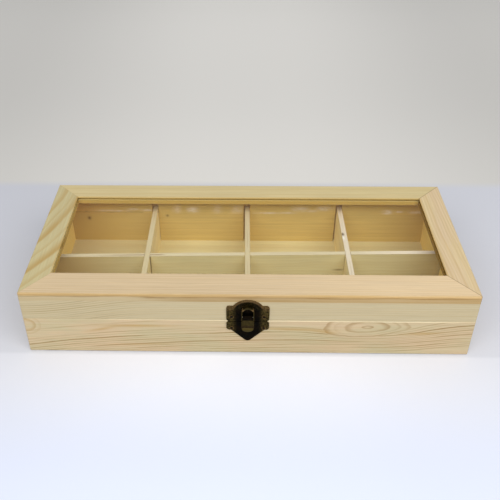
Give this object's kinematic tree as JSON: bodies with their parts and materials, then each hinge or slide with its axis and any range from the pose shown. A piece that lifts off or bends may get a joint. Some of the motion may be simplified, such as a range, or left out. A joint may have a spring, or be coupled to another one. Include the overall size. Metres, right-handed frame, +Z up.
{
  "type": "tea bag organizer box",
  "caption": "Low pine box with half-lapped dividers for sorting tea bags, under a hinged lid with a clear window in a mitred frame, held shut by a stamped bronze latch.",
  "frame": {"origin": "middle of the underside, on the table", "axes": "+X to the right along the width, +Z up, the latch on the front towards -Y, the hinges at the back towards +Y"},
  "size_m": [0.325, 0.1525, 0.056],
  "materials": {
    "pine_base": "bare sanded pine",
    "pine_lid": "bare sanded pine",
    "pine_frame": "bare sanded pine",
    "plywood": "bare plywood",
    "pane": "clear",
    "bronze": "antique bronze, dark and worn on its high edges",
    "steel": "dull"
  },
  "bodies": {
    "base": {"base_front_wall": "pine_base", "base_back_wall": "pine_base", "base_left_wall": "pine_base", "base_right_wall": "pine_base", "base_bottom_panel": "plywood", "bottom_brads": "steel", "long_divider": "plywood", "cross_divider_left": "plywood", "cross_divider_centre": "plywood", "cross_divider_right": "plywood", "hinge_base_leaf_left": "bronze", "hinge_base_leaf_right": "bronze", "hinge_pin_left": "steel", "hinge_pin_right": "steel", "hinge_base_nails": "bronze", "latch_lower_plate": "bronze", "latch_lower_nails": "bronze"},
    "lid": {"lid_front_wall": "pine_lid", "lid_back_wall": "pine_lid", "lid_left_wall": "pine_lid", "lid_right_wall": "pine_lid", "frame_front_rail": "pine_frame", "frame_back_rail": "pine_frame", "frame_left_rail": "pine_frame", "frame_right_rail": "pine_frame", "window_pane": "pane", "hinge_lid_leaf_left": "bronze", "hinge_lid_leaf_right": "bronze", "hinge_lid_nails": "bronze", "latch_upper_plate": "bronze", "latch_pin": "steel", "latch_upper_nails": "bronze"},
    "latch_tongue": {"latch_tongue": "bronze"}
  },
  "joints": [
    {"name": "lid_hinge", "type": "hinge", "parent": "base", "child": "lid", "pos_m": [0, 0.0744, 0.032], "axis": [-1, 0, 0], "range_deg": [0, 180]},
    {"name": "tongue_hinge", "type": "hinge", "parent": "lid", "child": "latch_tongue", "pos_m": [0, -0.0746, 0.0374], "axis": [-1, 0, 0], "range_deg": [0, 110]}
  ]
}
